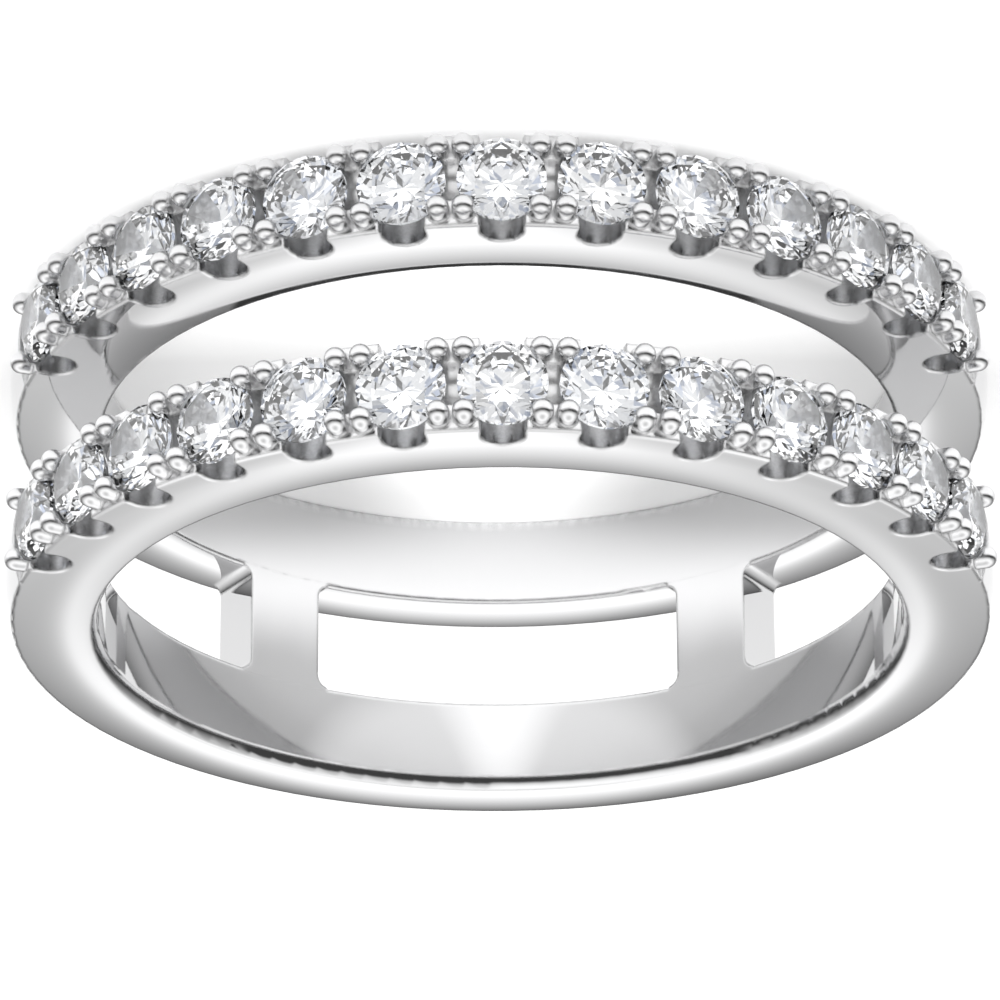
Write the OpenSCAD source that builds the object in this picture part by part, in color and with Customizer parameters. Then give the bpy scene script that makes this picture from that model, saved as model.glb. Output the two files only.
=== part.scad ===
/* [Finger hole] */
// Diameter of the finger hole, US ring size 7
finger_d = 17.3; // [15:0.1:20]
// Depth of the rounding at the finger hole's outer edges, away from the finger
comfort_d = 0.14; // [0.05:0.01:0.2]
// Height of that rounding along the finger
comfort_h = 0.3; // [0.1:0.01:0.4]
// Rounding of the finger hole's edges beside the slot
slot_edge_r = 0.09; // [0.03:0.01:0.15]

/* [Bands] */
// Width of each band along the finger
band_w = 2.1; // [2:0.05:3]
// Width of the slot that takes the ring worn with this one
slot_w = 2.5; // [1.5:0.05:4]
// Thickness of the shank at its outer edges, at the back
back_t = 1.45; // [1:0.05:2]
// Thickness of the shank at its outer edges, at the sides
side_t = 1.83; // [1.5:0.01:2.4]
// Height of the domed outer surface above its edges
dome_h = 0.18; // [0.05:0.01:0.4]
// Rounding of the outer edges
edge_r = 0.07; // [0.03:0.01:0.15]

/* [Bridges] */
// Angle from the middle of the back to the middle of each bridge
bridge_at = 34.2; // [20:0.1:60]
// Length of each bridge round the finger hole
bridge_l = 1.8; // [1:0.1:4]
// Thickness of each bridge
bridge_t = 1.34; // [0.8:0.02:1.4]
// Rounding of the bridges' corners against the bands
bridge_corner_r = 0.3; // [0.05:0.05:0.6]

/* [Stones] */
// Stones in each band
stone_count = 13; // [3:1:17]
// Diameter of a stone
stone_d = 1.85; // [1.5:0.05:2]
// Smallest distance between neighbouring stones
stone_gap = 0.21; // [0.15:0.01:0.5]
// Width of the table as a share of the diameter
table_share = 0.64; // [0.5:0.01:0.7]
// Angle of the crown's main facets
crown_angle = 34.5; // [28:0.5:38]
// Angle of the pavilion's main facets
pavilion_angle = 40.8; // [38:0.2:43]
// Thickness of the girdle
girdle_t = 0.1; // [0.04:0.01:0.14]
// Turn of each stone about its own axis
stone_turn = 22.5; // [0:0.5:45]
// Clearance between a stone and its seat
seat_clearance = 0.03; // [0.02:0.01:0.06]

/* [Setting] */
// Height of the ledge that carries the prongs, above the finger hole
ledge_t = 1.92; // [1.7:0.02:2.4]
// Width of the bevel along both edges of the ledge
ledge_bevel = 0.05; // [0.02:0.01:0.1]
// Height of the girdle's middle above the ledge
girdle_rise = 0; // [-0.1:0.01:0.05]
// Width of the U-cut under each stone
ucut_w = 0.86; // [0.5:0.02:1.2]
// Depth of the U-cut below the ledge
ucut_depth = 0.74; // [0.5:0.02:0.9]
// Width of the bevel round each U-cut
ucut_bevel = 0.04; // [0.02:0.01:0.1]
// Width of the flare at each side of a U-cut's mouth
mouth_flare = 0.06; // [0.02:0.01:0.12]
// Depth of that flare below the ledge
mouth_depth = 0.16; // [0.05:0.01:0.25]
// Diameter of a bead prong
bead_d = 0.48; // [0.3:0.01:0.55]
// Height of a bead's top above the ledge
bead_rise = 0.46; // [0.3:0.02:0.6]
// Distance between the two beads of a pair
bead_gap = 0.05; // [0.03:0.01:0.15]
// Distance from a band's side to the nearest bead
bead_inset = 0.11; // [0.05:0.01:0.3]
// Depth of the saddle between the beads, below the ledge
saddle_depth = 0.3; // [0.1:0.02:0.5]
// Length of the ledge past the last stone
ledge_end = 0.3; // [0.25:0.05:1]

/* [Hidden] */
$fn = 96;
ROWS = ["lower", "upper"];

steel = "#c9cbce";
clear = "#eef4fa";
eps = 0.01;
// Length by which a cutting body runs past what it cuts
beyond = 1;

hole_r = finger_d / 2;
total_w = 2 * band_w + slot_w;
function band_z(row) = row == "lower" ? -total_w / 2 : slot_w / 2;
function middle_z(row) = band_z(row) + band_w / 2;

// The outer surface turns about an axis shifted towards the stones, so the shank thickens from back to sides
shank_shift = side_t - back_t;
shank_r = hole_r + side_t;
dome_r = (pow(band_w / 2, 2) + pow(dome_h, 2)) / (2 * dome_h);
dome_x = shank_r + dome_h - dome_r;
dome_at_ledge = hole_r + side_t + dome_h + shank_shift;

ledge_r = hole_r + ledge_t;
girdle_r = ledge_r + girdle_rise;
pitch = 2 * asin((stone_d + stone_gap) / (2 * girdle_r));
function stone_angle(n) = (n - (stone_count + 1) / 2) * pitch;
function stone_name(row, n) = str(row, "_stone_", n < 10 ? "0" : "", n);

// Round brilliant, worked out from its shares and angles, with the girdle's middle at z = 0 and the table up
stone_r = stone_d / 2;
table_r = table_share * stone_r;
crown_h = (stone_r - table_r) * tan(crown_angle);
pavilion_h = stone_r * tan(pavilion_angle);
main_step = 45;
half_step = main_step / 2;
star_r = (stone_r + table_r) / 2;
lower_r = 0.24 * stone_r;
function crown_z(r, a) = girdle_t / 2 + crown_h * (stone_r - r * cos(a)) / (stone_r - table_r);
function pavilion_z(r, a) = -girdle_t / 2 - pavilion_h * (1 - r * cos(a) / stone_r);
function ring_point(r, a, z) = [r * cos(a), r * sin(a), z];
star_z = crown_z(star_r, half_step);
lower_z = pavilion_z(lower_r, half_step);
// The girdle's edge dips between its facet corners, where a facet's plane meets the round girdle
girdle_dip = stone_r * (1 - cos(half_step / 2)) * (star_z - girdle_t / 2) / (stone_r - star_r);
girdle_lift = stone_r * (1 - cos(half_step / 2)) * (-girdle_t / 2 - lower_z) / (stone_r - lower_r);

// A bead and its twin on the next stone stand side by side, upright halfway between the two stones
bead_r = bead_d / 2;
bead_h = ledge_r + bead_rise - bead_r;
bead_dx = (bead_d + bead_gap) / 2;
bead_dz = band_w / 2 - bead_inset - bead_r;
saddle_half = bead_dz - bead_r;
saddle_r = (pow(saddle_half, 2) + pow(saddle_depth, 2)) / (2 * saddle_depth);
ucut_r = ucut_w / 2;
ucut_h = ledge_r - ucut_depth + ucut_r;
ledge_angle = stone_angle(stone_count) + asin((stone_d / 2 + ledge_end) / girdle_r);
wall_h = bead_h + bead_d;

// Places its children at an angle from the middle of the front, with their z axis pointing outwards
module at_front(angle, z) {
    translate([0, 0, z]) rotate([0, 0, angle]) rotate([90, 0, 0]) children();
}

// Places its children at an angle from the middle of the back, with x outwards
module at_back(angle) {
    rotate([0, 0, 90 + angle]) children();
}

// Outline of a band, cut by a plane through the axis: flat sides, a domed top and rounded edges
module band_outline() {
    corner_x = dome_x + sqrt(pow(dome_r - edge_r, 2) - pow(band_w / 2 - edge_r, 2));
    tilt = atan2(band_w / 2 - edge_r, corner_x - dome_x);
    difference() {
        intersection() {
            square([shank_r + 2 * dome_h, band_w]);
            translate([dome_x, band_w / 2]) circle(r = dome_r, $fn = 720);
        }
        for (side = [0, 1]) translate([0, side * band_w]) mirror([0, side])
            polygon([[corner_x, edge_r], [corner_x, -edge_r], [corner_x + 2 * dome_h, -edge_r],
                     [corner_x + dome_h * cos(tilt), edge_r - dome_h * sin(tilt)]]);
    }
    for (z = [edge_r, band_w - edge_r]) translate([corner_x, z]) circle(r = edge_r);
}

// Rounds the finger hole's edge at height z with an arc that runs into the hole's wall.
// The band lies above that height or below it
module hole_edge(z, depth, height, above) {
    r = (pow(depth, 2) + pow(height, 2)) / (2 * depth);
    translate([0, 0, z]) mirror([0, 0, above ? 0 : 1]) rotate_extrude($fn = 180) difference() {
        translate([hole_r - depth, -height]) square([2 * depth, 2 * height]);
        translate([hole_r, height]) translate([r, 0]) circle(r = r);
    }
}

module plain_band(row) {
    z = band_z(row);
    difference() {
        translate([0, -shank_shift, z]) rotate_extrude($fn = 180) band_outline();
        translate([0, 0, z - eps]) cylinder(r = hole_r, h = band_w + 2 * eps, $fn = 180);
        hole_edge(row == "lower" ? z : z + band_w, comfort_d, comfort_h, row == "lower");
        hole_edge(row == "lower" ? z + band_w : z, slot_edge_r, slot_edge_r, row == "upper");
        ledge_cut(row);
    }
}

// Lowers the front of a band to the ledge, as far as the ends of the stone row
module ledge_cut(row) {
    span = 2 * ledge_angle;
    translate([0, 0, band_z(row)]) rotate([0, 0, -90 - ledge_angle]) rotate_extrude(angle = span, $fn = 180)
        polygon([[ledge_r - ledge_bevel - eps, -eps], [ledge_r, ledge_bevel],
                 [ledge_r, band_w - ledge_bevel], [ledge_r - ledge_bevel - eps, band_w + eps],
                 [dome_at_ledge + beyond, band_w + eps], [dome_at_ledge + beyond, -eps]]);
}

// Outline of a bridge, seen from the finger, with an arc at each corner.
// It runs into the bands past their rounded edges
module bridge_outline(height) {
    window = slot_w / 2 + eps;
    arc_end = bridge_corner_r - sqrt(pow(bridge_corner_r, 2) - pow(bridge_corner_r - eps, 2));
    difference() {
        square([bridge_l + 2 * arc_end, height], center = true);
        for (side = [-1, 1]) translate([side * (bridge_l / 2 + bridge_corner_r), 0]) {
            square([2 * bridge_corner_r, 2 * (window - bridge_corner_r)], center = true);
            for (top = [-1, 1]) translate([0, top * (window - bridge_corner_r)])
                circle(r = bridge_corner_r, $fn = 48);
        }
    }
}

// Piece of tube between the bands, cut to the outline of a bridge
module bridge(side) {
    height = slot_w + 4 * slot_edge_r;
    at_back(side * bridge_at) intersection() {
        translate([0, 0, -height / 2]) rotate_extrude($fn = 180)
            translate([hole_r, 0]) square([bridge_t, height]);
        rotate([90, 0, 90]) linear_extrude(hole_r + bridge_t + beyond) bridge_outline(height + 2 * eps);
    }
}

// Two bead prongs, one on each side of the band, on the side of a stone given by side
module beads(side) {
    rotate([0, side * pitch / 2, 0]) for (z = [-bead_dz, bead_dz]) translate([-side * bead_dx, z, 0]) {
        translate([0, 0, ledge_r - bead_r]) cylinder(r = bead_r, h = bead_h - ledge_r + bead_r, $fn = 32);
        translate([0, 0, bead_h]) sphere(r = bead_r, $fn = 32);
    }
}

// Open seat for a stone: a cone for its pavilion, and a straight wall from the girdle outwards
module seat() {
    c = seat_clearance;
    translate([0, 0, girdle_r]) rotate_extrude($fn = 64)
        polygon([[0, -girdle_t / 2 - pavilion_h - 2 * c], [lower_r + c, lower_z - c],
                 [stone_r + c, -girdle_t / 2 - c], [stone_r + c, wall_h - girdle_r],
                 [0, wall_h - girdle_r]]);
}

// Room for a stone's crown under the beads that hold it, slightly wider than the seat's wall
module crown_room() {
    c = seat_clearance;
    room_r = stone_r + c + eps;
    translate([0, 0, girdle_r]) rotate_extrude($fn = 64)
        polygon([[0, ledge_r - girdle_r - bead_d], [room_r, ledge_r - girdle_r - bead_d],
                 [room_r, girdle_t / 2 + c], [star_r + c, star_z + c],
                 [table_r + c, girdle_t / 2 + crown_h + c], [0, wall_h - girdle_r]]);
}

// U-cut through the band under a stone, with a bevel at both sides
module ucut() {
    bevel_r = ucut_r + ucut_bevel;
    translate([0, 0, ucut_h]) rotate([90, 0, 0]) translate([0, 0, -band_w / 2]) {
        translate([0, 0, -eps]) cylinder(r = ucut_r, h = band_w + 2 * eps, $fn = 48);
        for (side = [0, 1]) translate([0, 0, side * band_w]) mirror([0, 0, side]) translate([0, 0, -eps])
            cylinder(r1 = bevel_r + eps, r2 = ucut_r, h = ucut_bevel + eps, $fn = 48);
    }
    translate([0, band_w / 2 + eps, 0]) rotate([90, 0, 0]) linear_extrude(band_w + 2 * eps)
        polygon([[-ucut_r, ledge_r - mouth_depth], [ucut_r, ledge_r - mouth_depth],
                 [ucut_r + mouth_flare, ledge_r], [ucut_r + mouth_flare, wall_h],
                 [-ucut_r - mouth_flare, wall_h], [-ucut_r - mouth_flare, ledge_r]]);
    translate([0, 0, ucut_h]) linear_extrude(wall_h - ucut_h)
        polygon([[-bevel_r - eps, -band_w / 2 - eps], [-ucut_r, -band_w / 2 + ucut_bevel],
                 [-ucut_r, band_w / 2 - ucut_bevel], [-bevel_r - eps, band_w / 2 + eps],
                 [bevel_r + eps, band_w / 2 + eps], [ucut_r, band_w / 2 - ucut_bevel],
                 [ucut_r, -band_w / 2 + ucut_bevel], [bevel_r + eps, -band_w / 2 - eps]]);
}

// Round groove along a band between two stones, from the near beads to the far ones
module saddle() {
    width = stone_gap + stone_r;
    translate([-width / 2, 0, ledge_r - saddle_depth + saddle_r]) rotate([0, 90, 0])
        cylinder(r = saddle_r, h = width, $fn = 64);
}

module double_band() {
    color(steel) {
        for (row = ROWS) {
            difference() {
                plain_band(row);
                for (n = [1:stone_count - 1]) at_front(stone_angle(n + 0.5), middle_z(row)) saddle();
                for (n = [1:stone_count]) at_front(stone_angle(n), middle_z(row)) {
                    seat();
                    ucut();
                }
            }
            for (n = [1:stone_count]) at_front(stone_angle(n), middle_z(row)) difference() {
                for (side = [-1, 1]) beads(side);
                crown_room();
            }
        }
        for (side = [-1, 1]) bridge(side);
    }
}

// Corners of a brilliant, ring by ring: table, star points, upper girdle, lower girdle, lower points, culet
module brilliant() {
    steps = 360 / main_step;
    table = [for (i = [0:steps - 1]) ring_point(table_r, i * main_step, girdle_t / 2 + crown_h)];
    star = [for (i = [0:steps - 1]) ring_point(star_r, (i + 0.5) * main_step, star_z)];
    upper = [for (i = [0:4 * steps - 1])
        ring_point(stone_r, i * half_step / 2, girdle_t / 2 - (i % 2) * girdle_dip)];
    lower = [for (i = [0:4 * steps - 1])
        ring_point(stone_r, i * half_step / 2, -girdle_t / 2 + (i % 2) * girdle_lift)];
    points = [for (i = [0:steps - 1]) ring_point(lower_r, (i + 0.5) * main_step, lower_z)];
    culet = [[0, 0, -girdle_t / 2 - pavilion_h]];
    star_0 = steps;
    upper_0 = star_0 + steps;
    lower_0 = upper_0 + 4 * steps;
    points_0 = lower_0 + 4 * steps;
    culet_0 = points_0 + steps;
    function next(i) = (i + 1) % steps;
    function back(i) = (i + steps - 1) % steps;
    function girdle(i) = (i + 4 * steps) % (4 * steps);
    table_face = [[for (i = [0:steps - 1]) steps - 1 - i]];
    star_faces = [for (i = [0:steps - 1]) [i, next(i), star_0 + i]];
    bezel_faces = [for (i = [0:steps - 1]) [i, star_0 + i, upper_0 + girdle(4 * i), star_0 + back(i)]];
    upper_faces = [for (i = [0:steps - 1]) for (s = [0, 1])
        [star_0 + i, upper_0 + girdle(4 * i + 2 * s + 2), upper_0 + girdle(4 * i + 2 * s + 1),
         upper_0 + girdle(4 * i + 2 * s)]];
    girdle_faces = [for (i = [0:4 * steps - 1])
        [upper_0 + i, upper_0 + girdle(i + 1), lower_0 + girdle(i + 1), lower_0 + i]];
    lower_faces = [for (i = [0:steps - 1]) for (s = [0, 1])
        [points_0 + i, lower_0 + girdle(4 * i + 2 * s), lower_0 + girdle(4 * i + 2 * s + 1),
         lower_0 + girdle(4 * i + 2 * s + 2)]];
    main_faces = [for (i = [0:steps - 1])
        [culet_0, points_0 + back(i), lower_0 + girdle(4 * i), points_0 + i]];
    crown_faces = concat(table_face, star_faces, bezel_faces, upper_faces);
    polyhedron(concat(table, star, upper, lower, points, culet),
               concat(crown_faces, girdle_faces, lower_faces, main_faces));
}

module stone(row, n) {
    color(clear) at_front(stone_angle(n), middle_z(row))
        translate([0, 0, girdle_r]) rotate(stone_turn) brilliant();
}

double_band();
for (row = ROWS) for (n = [1:stone_count])
    stone(row, n);
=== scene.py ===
import math

import bmesh
import bpy
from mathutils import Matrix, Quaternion, Vector


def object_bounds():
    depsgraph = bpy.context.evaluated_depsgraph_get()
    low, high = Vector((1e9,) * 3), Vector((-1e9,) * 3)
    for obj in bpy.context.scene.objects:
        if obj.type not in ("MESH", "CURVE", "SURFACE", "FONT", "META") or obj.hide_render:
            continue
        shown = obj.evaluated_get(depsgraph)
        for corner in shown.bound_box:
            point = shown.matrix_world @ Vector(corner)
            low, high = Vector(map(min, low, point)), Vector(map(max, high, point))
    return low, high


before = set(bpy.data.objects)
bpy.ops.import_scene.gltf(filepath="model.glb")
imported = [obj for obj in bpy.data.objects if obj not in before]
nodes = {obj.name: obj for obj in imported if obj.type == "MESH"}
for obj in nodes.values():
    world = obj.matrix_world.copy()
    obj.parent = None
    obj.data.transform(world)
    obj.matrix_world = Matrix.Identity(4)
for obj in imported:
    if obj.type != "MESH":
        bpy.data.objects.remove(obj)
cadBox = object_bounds()
print("Frame loaded:", len(nodes), "nodes")

# The camera is upside down: the band that is nearer to it in the photograph is the upper one here
photoView = {
    "aim": (-0.000013, -0.000028, 0.000089),
    "distance": 0.1381,
    "azimuth": 0.448,
    "elevation": 24.47,
    "roll": 179.68,
    "lens": 228.75,
    "sensor": 36.0,
    "clip": (0.1, 100),          # nearest and furthest that it sees, in distances
}


def makeCamera(view):
    camera = bpy.data.objects.new("photoCamera", bpy.data.cameras.new("photoCamera"))
    bpy.context.scene.collection.objects.link(camera)
    turn, rise = math.radians(view["azimuth"]), math.radians(view["elevation"])
    level = math.cos(rise)
    back = Vector((math.sin(turn) * level, -math.cos(turn) * level, math.sin(rise)))
    camera.location = Vector(view["aim"]) + view["distance"] * back
    camera.rotation_mode = "QUATERNION"
    roll = Quaternion((0, 0, 1), math.radians(view["roll"]))
    camera.rotation_quaternion = (-back).to_track_quat("-Z", "Y") @ roll
    camera.data.lens = view["lens"]
    camera.data.sensor_width = view["sensor"]
    near, far = view["clip"]
    camera.data.clip_start = view["distance"] * near
    camera.data.clip_end = view["distance"] * far
    bpy.context.scene.camera = camera


makeCamera(photoView)
print("Camera placed")


# Short ways to build shader trees
def addNode(tree, kind, inputs=None, **settings):
    made = tree.nodes.new(kind)
    for name, value in settings.items():
        setattr(made, name, value)
    for socket, value in (inputs or {}).items():
        if isinstance(value, bpy.types.NodeSocket):
            tree.links.new(value, made.inputs[socket])
        else:
            made.inputs[socket].default_value = value
    return made


def calculate(tree, operation, first, second=0.0):
    made = addNode(tree, "ShaderNodeMath", {0: first, 1: second}, operation=operation)
    return made.outputs[0]


def vectorMath(tree, operation, first, second):
    made = addNode(tree, "ShaderNodeVectorMath", {0: first, 1: second}, operation=operation)
    return made.outputs[0]


def scaleVector(tree, vector, factor):
    inputs = {0: vector, "Scale": factor}
    return addNode(tree, "ShaderNodeVectorMath", inputs, operation="SCALE").outputs[0]


def vectorLength(tree, vector):
    return addNode(tree, "ShaderNodeVectorMath", {0: vector}, operation="LENGTH").outputs["Value"]


def unitVector(tree, vector):
    return addNode(tree, "ShaderNodeVectorMath", {0: vector}, operation="NORMALIZE").outputs[0]


def splitVector(tree, vector):
    return addNode(tree, "ShaderNodeSeparateXYZ", {"Vector": vector}).outputs


def ramp(tree, value, start, end, low=0.0, high=1.0):
    inputs = {"Value": value, "From Min": start, "From Max": end, "To Min": low, "To Max": high}
    made = addNode(tree, "ShaderNodeMapRange", inputs, interpolation_type="SMOOTHSTEP")
    return made.outputs["Result"]


# The Mix node's numbers are sockets 0, 2 and 3, and its colours 6 and 7
def mixValues(tree, factor, first, second):
    return addNode(tree, "ShaderNodeMix", {0: factor, 2: first, 3: second}).outputs[0]


def mixColours(tree, factor, first, second):
    inputs = {0: factor, 6: first, 7: second}
    return addNode(tree, "ShaderNodeMix", inputs, data_type="RGBA").outputs[2]


def newMaterial(name):
    material = bpy.data.materials.new(name)
    material.use_nodes = True
    tree = material.node_tree
    return material, tree, tree.nodes["Principled BSDF"]


polish = {
    "detail": 4.0,
    "edges": (0.3, 0.7),         # of the noise, between no grain and full grain
}


# Fine unevenness of a polished surface, as a mask from 0 to 1, for the metal and the stones
def makeGrain(setting):
    group = bpy.data.node_groups.new("polishGrain", "ShaderNodeTree")
    group.interface.new_socket("Scale", in_out="INPUT", socket_type="NodeSocketFloat")
    group.interface.new_socket("Mask", in_out="OUTPUT", socket_type="NodeSocketFloat")
    scale = addNode(group, "NodeGroupInput").outputs["Scale"]
    place = addNode(group, "ShaderNodeTexCoord").outputs["Object"]
    inputs = {"Vector": place, "Scale": scale, "Detail": setting["detail"]}
    marks = addNode(group, "ShaderNodeTexNoise", inputs).outputs["Fac"]
    addNode(group, "NodeGroupOutput", {"Mask": ramp(group, marks, *setting["edges"])})
    return group


def grainMask(tree, group, scale):
    return addNode(tree, "ShaderNodeGroup", {"Scale": scale}, node_tree=group).outputs["Mask"]


studio = {
    "floorHalf": 0.5,
    "floorColour": (0.82, 0.82, 0.82, 1),
    "floorRoughness": 0.6,
    "paintedFloorGlow": (0.3, 0.7),     # painted light: the floor glows, though it is no lamp, behind the ring and in front of it, outside these radii, and is dimmer within them at the back, a painted shade under the ring, glows under the stones' half of the ring, and glows in a narrow painted pool of light inside it
    "glowStart": (0.0085, 0.0118),  # outside these radii,
    "paintedFrontGlow": 0.4,            # under the stones' half of the ring,
    "frontStart": (0.0015, -0.0025),
    "paintedPoolGlow": (0.1, 0.9),      # and in a narrow pool inside it
    "poolCentre": (0, -0.001, 0),
    "poolReach": (0.0042, 0.022, 1),
    "light": 1.6,                # brightness of the white tent round the ring
    "backdrop": (1, 1, 1, 1),
    "lowSky": (6, 27.5),         # from grey to white between these elevations, in degrees
    "lowLight": 0.08,
    "roof": (55, 85),            # above these it is grey again
    "roofLight": 0.55,
    "backAzimuth": 3,            # it is brightest straight behind the ring
    "sideLight": 0.5,
    "sideTop": 55,               # elevation where the sides are as bright as the back
    "gapElevation": (-4, 26),    # the dark gap that the camera looks through
    "gapAzimuth": 78,
    "gapSoftness": 3,
    "gapWobble": 10,
    "gapSideWobble": 2.0,        # how much more its two ends waver
    "gapDetail": 2.5,
    "gapLight": 0.045,
    "stoneGapLight": 0.6,        # what the stones see of the gap, but for the lens in it
    "stoneLight": (0.88, 0.885, 0.89, 1),
    "stoneShade": (0.36, 0.40, 0.49, 1),  # patches that the stones see in the tent
    "patches": 2.6,
    "patchDetail": 1.0,
    "patchEdges": (0.38, 0.5),
    "lens": (24.5, 7),           # elevation and half width
    "lensEdge": 1.3,             # outer edge of its soft rim, in half widths
}


def makeFloor(setting):
    mesh = bpy.data.meshes.new("floor")
    shape = bmesh.new()
    bmesh.ops.create_grid(shape, x_segments=1, y_segments=1, size=setting["floorHalf"])
    shape.to_mesh(mesh)
    shape.free()
    floor = bpy.data.objects.new("floor", mesh)
    lowCorner = cadBox[0]
    floor.location.z = lowCorner.z
    bpy.context.scene.collection.objects.link(floor)
    material, tree, shader = newMaterial("paleFloor")
    shader.inputs["Base Color"].default_value = setting["floorColour"]
    shader.inputs["Roughness"].default_value = setting["floorRoughness"]
    shader.inputs["Emission Color"].default_value = setting["backdrop"]
    # Painted light on the floor: a glow that is brighter in a narrow pool inside the ring, in
    # front of it and away from it, and dimmer under the ring's back as a painted shade
    place = addNode(tree, "ShaderNodeTexCoord").outputs["Object"]
    shift = vectorMath(tree, "SUBTRACT", place, setting["poolCentre"])
    share = vectorMath(tree, "DIVIDE", shift, setting["poolReach"])
    paintedPool = ramp(tree, vectorLength(tree, share), 1.0, 0.0, *setting["paintedPoolGlow"])
    depth = splitVector(tree, place)["Y"]
    outside = ramp(tree, vectorLength(tree, place), *setting["glowStart"])
    strength = ramp(tree, depth, *setting["frontStart"], *setting["paintedFloorGlow"])
    around = calculate(tree, "MULTIPLY", outside, strength)
    front = ramp(tree, depth, *setting["frontStart"], 0.0, setting["paintedFrontGlow"])
    paintedGlow = calculate(tree, "MAXIMUM", calculate(tree, "MAXIMUM", paintedPool, around), front)
    tree.links.new(paintedGlow, shader.inputs["Emission Strength"])
    mesh.materials.append(material)


# How bright the white tent is in a direction: grey towards the horizon, the sides and the roof
def tentLight(tree, setting, elevation, azimuth):
    fromBack = calculate(tree, "SUBTRACT", math.pi, calculate(tree, "ABSOLUTE", azimuth))
    spread = calculate(tree, "DIVIDE", fromBack, math.radians(setting["backAzimuth"]))
    spread = calculate(tree, "ADD", calculate(tree, "POWER", spread, 2.0), 1.0)
    nearBack = calculate(tree, "DIVIDE", 1.0, spread)
    grey, white = (math.radians(angle) for angle in setting["lowSky"])
    inputs = {"Value": elevation, "From Min": grey, "From Max": white}
    inputs["To Min"] = setting["lowLight"]
    low = addNode(tree, "ShaderNodeMapRange", inputs).outputs["Result"]
    sides = ramp(tree, nearBack, 0.0, 1.0, setting["sideLight"], 1.0)
    higher = ramp(tree, elevation, grey, math.radians(setting["sideTop"]))
    sides = calculate(tree, "MAXIMUM", sides, higher)
    start, end = (math.radians(angle) for angle in setting["roof"])
    roof = ramp(tree, elevation, start, end, 1.0, setting["roofLight"])
    return calculate(tree, "MULTIPLY", calculate(tree, "MULTIPLY", low, sides), roof)


# How far a direction lies in the tent's dark gap, from 0 to 1, with an uneven edge
def tentGap(tree, setting, direction, elevation, azimuth):
    low, high = (math.radians(angle) for angle in setting["gapElevation"])
    half, soft = math.radians(setting["gapAzimuth"]), math.radians(setting["gapSoftness"])
    inputs = {"Vector": direction, "Scale": setting["gapDetail"]}
    uneven = addNode(tree, "ShaderNodeTexNoise", inputs).outputs["Fac"]
    uneven = calculate(tree, "SUBTRACT", uneven, 0.5)
    wobble = calculate(tree, "MULTIPLY", uneven, math.radians(setting["gapWobble"]))
    sideWobble = calculate(tree, "MULTIPLY", wobble, setting["gapSideWobble"])
    height = calculate(tree, "ADD", elevation, wobble)
    side = calculate(tree, "ADD", calculate(tree, "ABSOLUTE", azimuth), sideWobble)
    above = ramp(tree, height, low - soft, low + soft)
    below = ramp(tree, height, high + soft, high - soft)
    between = ramp(tree, side, half + soft, half - soft)
    return calculate(tree, "MULTIPLY", calculate(tree, "MULTIPLY", above, below), between)


# What is seen in the gap: the stones see light in it, but for the lens
def gapView(tree, setting, direction, throughStone):
    rise, reach = (math.radians(angle) for angle in setting["lens"])
    aim = (0, -math.cos(rise), math.sin(rise))
    inputs = {0: direction, 1: aim}
    nearLens = addNode(tree, "ShaderNodeVectorMath", inputs, operation="DOT_PRODUCT")
    rim = math.cos(setting["lensEdge"] * reach)
    inLens = ramp(tree, nearLens.outputs["Value"], rim, math.cos(reach))
    stoneView = ramp(tree, inLens, 0.0, 1.0, setting["stoneGapLight"], setting["gapLight"])
    return ramp(tree, throughStone, 0.0, 1.0, setting["gapLight"], stoneView)


def makeWorld(setting):
    world = bpy.data.worlds.new("lightTent")
    bpy.context.scene.world = world
    world.use_nodes = True
    tree = world.node_tree
    background = tree.nodes["Background"]
    direction = addNode(tree, "ShaderNodeTexCoord").outputs["Generated"]
    along = splitVector(tree, direction)
    path = addNode(tree, "ShaderNodeLightPath").outputs
    elevation = calculate(tree, "ARCSINE", along["Z"])
    forwards = calculate(tree, "MULTIPLY", along["Y"], -1.0)
    azimuth = calculate(tree, "ARCTAN2", along["X"], forwards)
    tent = tentLight(tree, setting, elevation, azimuth)
    inGap = gapView(tree, setting, direction, path["Is Transmission Ray"])
    gap = tentGap(tree, setting, direction, elevation, azimuth)
    seen = mixValues(tree, gap, tent, inGap)
    inputs = {"Vector": direction, "Scale": setting["patches"], "Detail": setting["patchDetail"]}
    patches = addNode(tree, "ShaderNodeTexNoise", inputs).outputs["Fac"]
    lit = ramp(tree, patches, *setting["patchEdges"])
    tint = mixColours(tree, lit, setting["stoneShade"], setting["stoneLight"])
    tint = mixColours(tree, path["Is Transmission Ray"], setting["backdrop"], tint)
    colour = scaleVector(tree, tint, seen)
    colour = mixColours(tree, path["Is Camera Ray"], colour, setting["backdrop"])
    tree.links.new(colour, background.inputs["Color"])
    background.inputs["Strength"].default_value = setting["light"]


makeFloor(studio)
makeWorld(studio)
bpy.context.scene.view_settings.view_transform = "Standard"
print("Floor and light made")

silver = {
    "colour": (0.65, 0.65, 0.655, 1),
    "roughness": (0.03, 0.06),
    "grain": 900.0,              # polish marks to a metre
    # Painted light: in recesses, which the occlusion finds, the colour is lighter than the open
    # metal, with lighter streaks along the height, standing in for the light that bounces into
    # them; they are rougher too
    "paintedRecessLight": (0.72, 0.72, 0.725, 1),
    "paintedRecessStreak": (0.84, 0.84, 0.845, 1),
    "recessRoughness": 0.45,
    "recessReach": 0.0006,
    "recessOpen": (0.2, 0.75),   # from a recess to an open surface, as shares of open sky
    "recessSamples": 4,
    "streaks": (6000, 6000, 250),
    "streakEdges": (0.35, 0.65),
    "softEdge": 0.00009,
    "edgeSamples": 4,
    "holeRadius": 0.00865,
    "outerRadius": 0.01048,      # of the shank's sides, round an axis that is nearer to the stones
    "outerShift": 0.00038,
    "pillow": 0.14,              # lean of the flat sides' polish at their edges, in radians
    "sideSlope": (0.8, 0.99),    # how upright a normal is where a flat side starts and is whole
}


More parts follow.
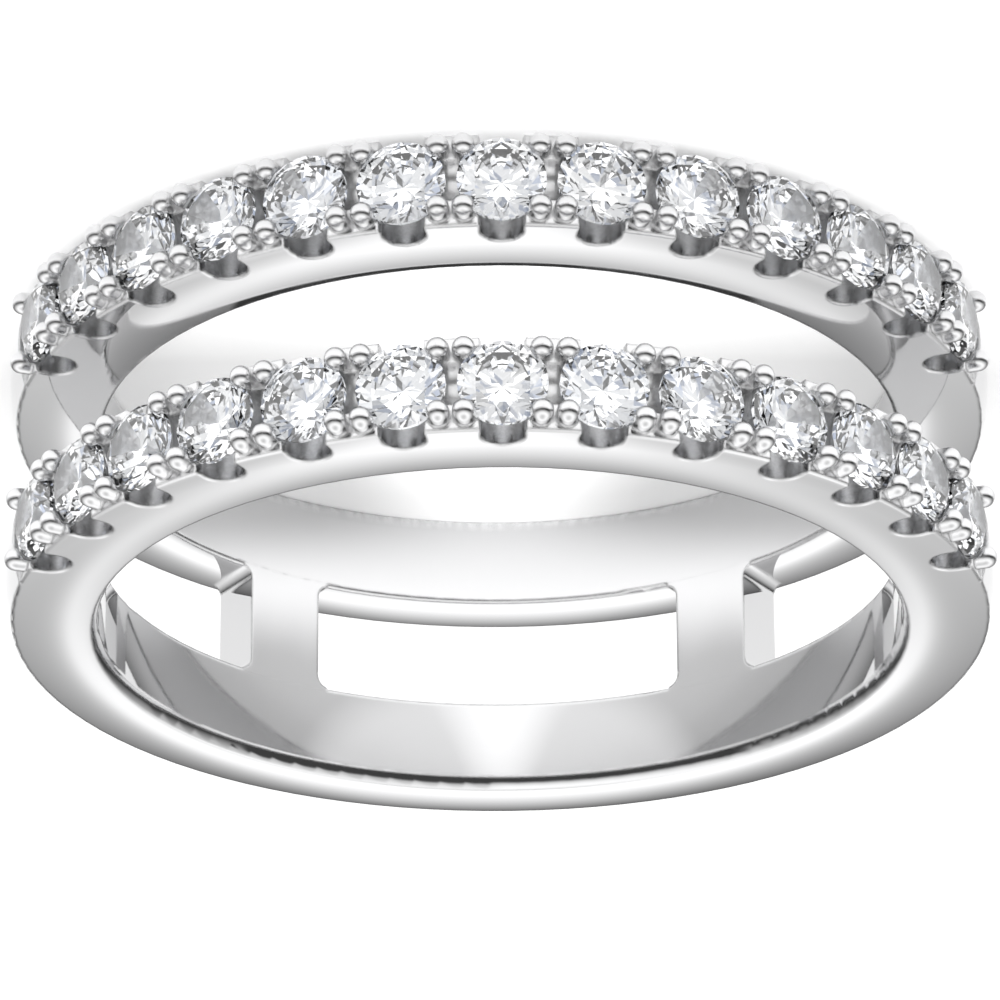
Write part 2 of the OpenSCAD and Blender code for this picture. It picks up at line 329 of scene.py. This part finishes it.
# Leans the normal of a band's flat side, as the polish does: inwards at the finger hole and
# outwards at the outer edge
def softenSides(tree, setting, place, normal):
    flat = vectorMath(tree, "MULTIPLY", place, (1, 1, 0))
    outwards = unitVector(tree, flat)
    back = splitVector(tree, outwards)["Y"]
    depth = setting["outerRadius"] - setting["holeRadius"]
    narrower = calculate(tree, "MULTIPLY", back, setting["outerShift"])
    width = calculate(tree, "SUBTRACT", depth, narrower)
    fromHole = calculate(tree, "SUBTRACT", vectorLength(tree, flat), setting["holeRadius"])
    fromMiddle = calculate(tree, "SUBTRACT", calculate(tree, "DIVIDE", fromHole, width), 0.5)
    lean = calculate(tree, "MULTIPLY", fromMiddle, 2 * setting["pillow"])
    upright = calculate(tree, "ABSOLUTE", splitVector(tree, normal)["Z"])
    lean = calculate(tree, "MULTIPLY", lean, ramp(tree, upright, *setting["sideSlope"]))
    return unitVector(tree, vectorMath(tree, "ADD", normal, scaleVector(tree, outwards, lean)))


def makeSilver(setting, group):
    material, tree, shader = newMaterial("polishedSilver")
    place = addNode(tree, "ShaderNodeTexCoord").outputs["Object"]
    marks = grainMask(tree, group, setting["grain"])
    smooth = ramp(tree, marks, 0.0, 1.0, *setting["roughness"])
    # Painted light in recesses: where the occlusion finds little open sky, the colour turns
    # lighter, with lighter streaks, and the surface rougher
    inputs = {"Distance": setting["recessReach"]}
    sky = addNode(tree, "ShaderNodeAmbientOcclusion", inputs, samples=setting["recessSamples"])
    clear = ramp(tree, sky.outputs["AO"], *setting["recessOpen"])
    drawn = vectorMath(tree, "MULTIPLY", place, setting["streaks"])
    streaks = addNode(tree, "ShaderNodeTexNoise", {"Vector": drawn, "Scale": 1.0}).outputs["Fac"]
    streaks = ramp(tree, streaks, *setting["streakEdges"])
    paintedRecess = mixColours(tree, streaks, setting["paintedRecessLight"], setting["paintedRecessStreak"])
    colour = mixColours(tree, clear, paintedRecess, setting["colour"])
    rough = mixValues(tree, clear, setting["recessRoughness"], smooth)
    inputs = {"Radius": setting["softEdge"]}
    edge = addNode(tree, "ShaderNodeBevel", inputs, samples=setting["edgeSamples"])
    normal = softenSides(tree, setting, place, edge.outputs["Normal"])
    shader.inputs["Metallic"].default_value = 1
    tree.links.new(colour, shader.inputs["Base Color"])
    tree.links.new(rough, shader.inputs["Roughness"])
    tree.links.new(normal, shader.inputs["Normal"])
    return material


stone = {
    "colours": ((0.95, 0.968, 1, 1), (1, 1, 1, 1)),  # from a faint blue to clear
    "cloud": 900.0,              # clouds to a metre
    "roughness": (0.0, 0.012),
    "refraction": 2.16,
}


def makeStone(setting, group):
    material, tree, shader = newMaterial("clearStone")
    cloud = grainMask(tree, group, setting["cloud"])
    colour = mixColours(tree, cloud, *setting["colours"])
    rough = ramp(tree, cloud, 0.0, 1.0, *setting["roughness"])
    tree.links.new(colour, shader.inputs["Base Color"])
    tree.links.new(rough, shader.inputs["Roughness"])
    shader.inputs["Transmission Weight"].default_value = 1
    shader.inputs["IOR"].default_value = setting["refraction"]
    return material


def paint(node, material):
    mesh = nodes[node].data
    mesh.materials.clear()
    mesh.materials.append(material)


grain = makeGrain(polish)
metal, gem = makeSilver(silver, grain), makeStone(stone, grain)
for name in nodes:
    paint(name, metal if name == "double_band" else gem)
print("Materials given")
